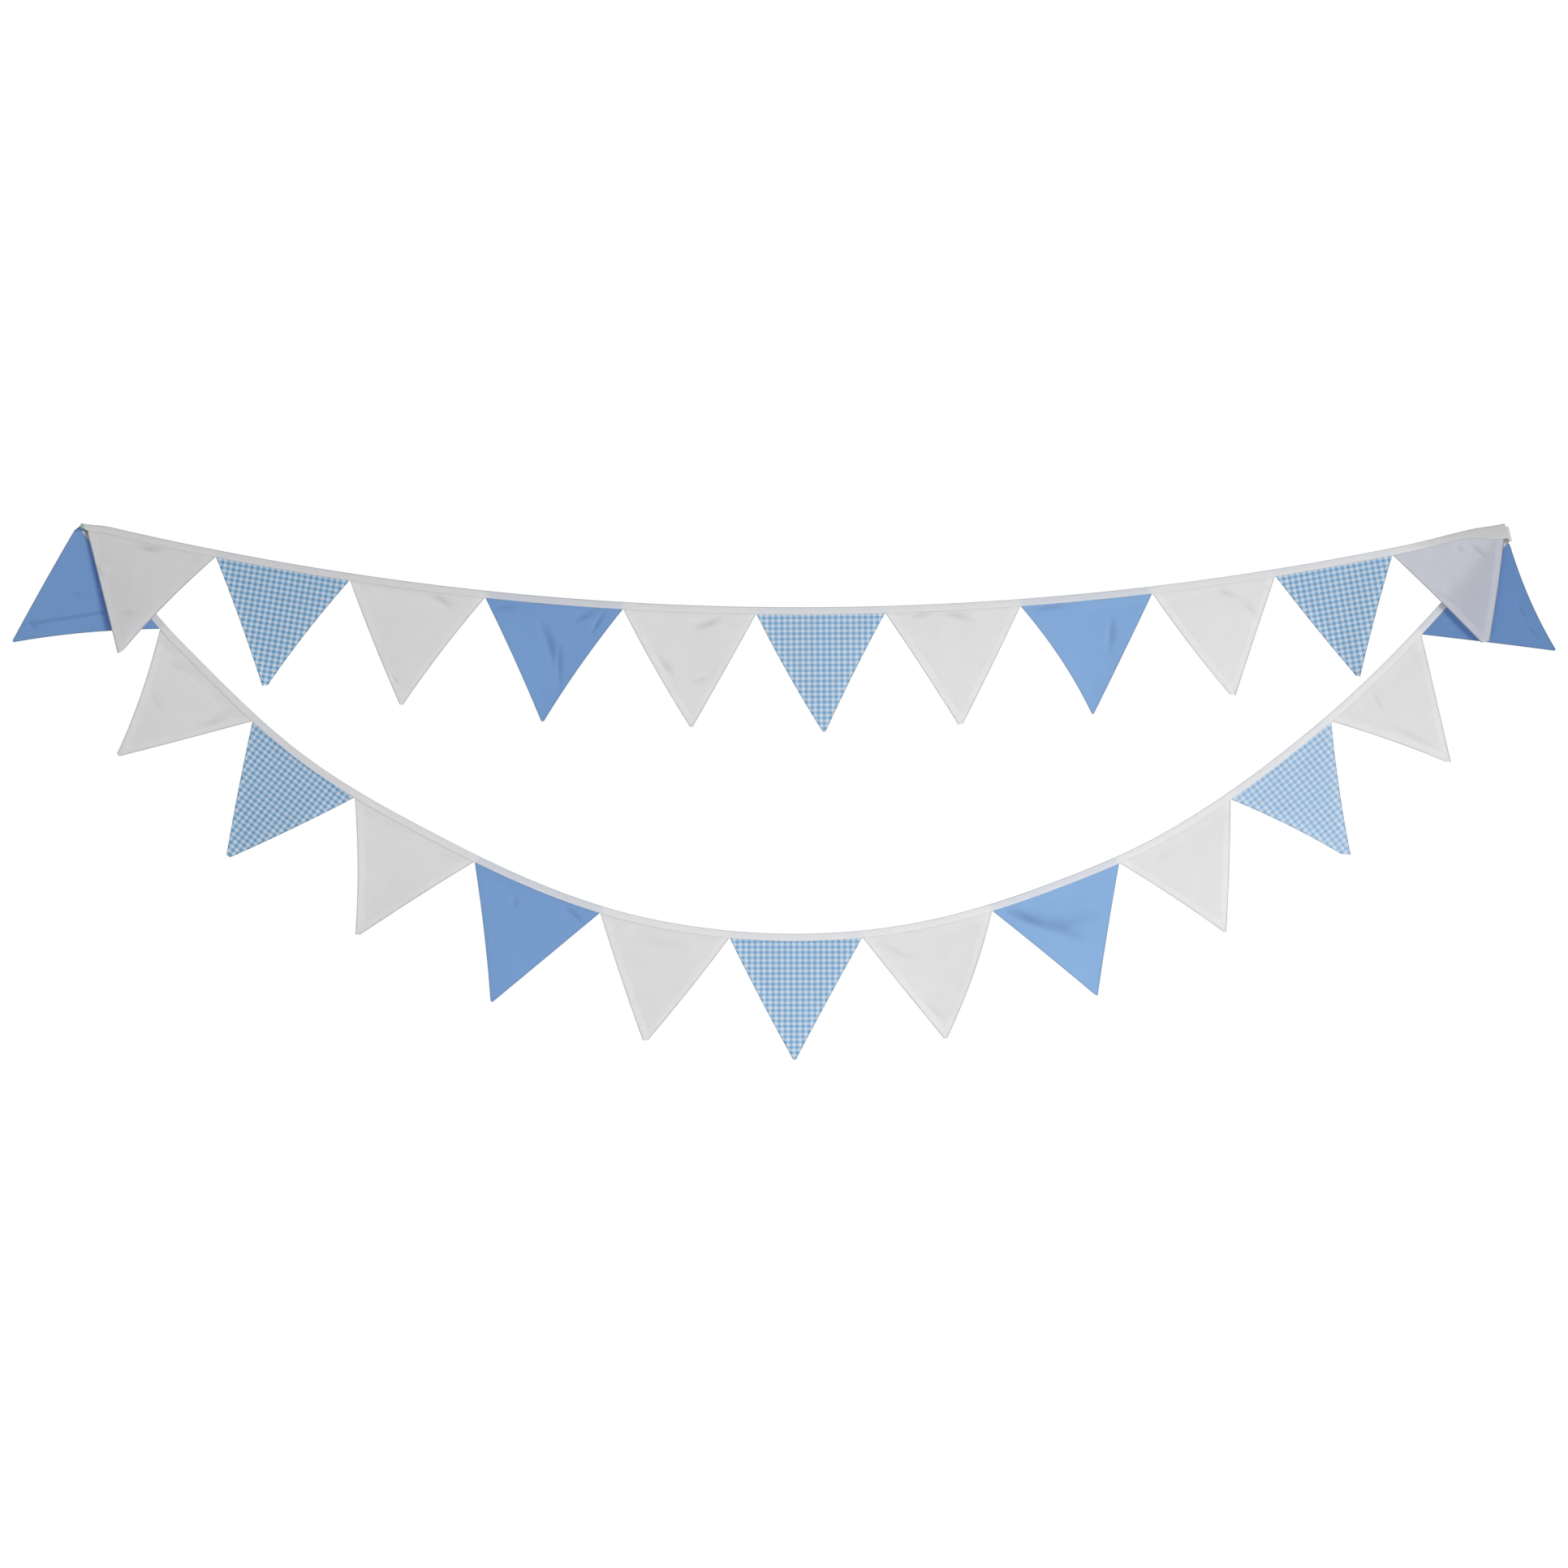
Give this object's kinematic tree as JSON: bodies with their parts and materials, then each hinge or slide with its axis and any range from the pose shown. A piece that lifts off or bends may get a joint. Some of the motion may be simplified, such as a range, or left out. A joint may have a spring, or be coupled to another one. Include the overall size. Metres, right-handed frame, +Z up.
{
  "type": "fabric bunting with two wall pins",
  "caption": "Triangular cotton flags in white, blue gingham and light blue on a folded white tape, hung from two wall pins as two swags.",
  "frame": {"origin": "midway across between the two wall pins, level with the left one, on the wall's face", "axes": "+X to the viewer's right along the wall, +Y into the wall, +Z up"},
  "size_m": [2.3674, 0.0139, 0.824],
  "materials": {
    "white_cotton": "matt plain weave",
    "gingham_cotton": "matt woven check",
    "blue_cotton": "matt plain weave",
    "tape_cotton": "matt bias tape, topstitched",
    "pin_head": "gloss"
  },
  "bodies": {
    "root": {"flag_upper_01_white": "white_cotton", "flag_upper_02_gingham": "gingham_cotton", "flag_upper_03_white": "white_cotton", "flag_upper_04_blue": "blue_cotton", "flag_upper_05_white": "white_cotton", "flag_upper_06_gingham": "gingham_cotton", "flag_upper_07_white": "white_cotton", "flag_upper_08_blue": "blue_cotton", "flag_upper_09_white": "white_cotton", "flag_upper_10_gingham": "gingham_cotton", "flag_upper_11_white": "white_cotton", "flag_lower_01_blue": "blue_cotton", "flag_lower_02_white": "white_cotton", "flag_lower_03_gingham": "gingham_cotton", "flag_lower_04_white": "white_cotton", "flag_lower_05_blue": "blue_cotton", "flag_lower_06_white": "white_cotton", "flag_lower_07_gingham": "gingham_cotton", "flag_lower_08_white": "white_cotton", "flag_lower_09_blue": "blue_cotton", "flag_lower_10_white": "white_cotton", "flag_lower_11_gingham": "gingham_cotton", "flag_lower_12_white": "white_cotton", "flag_lower_13_blue": "blue_cotton", "tape": "tape_cotton", "pin_left": "pin_head", "pin_right": "pin_head"}
  },
  "joints": []
}
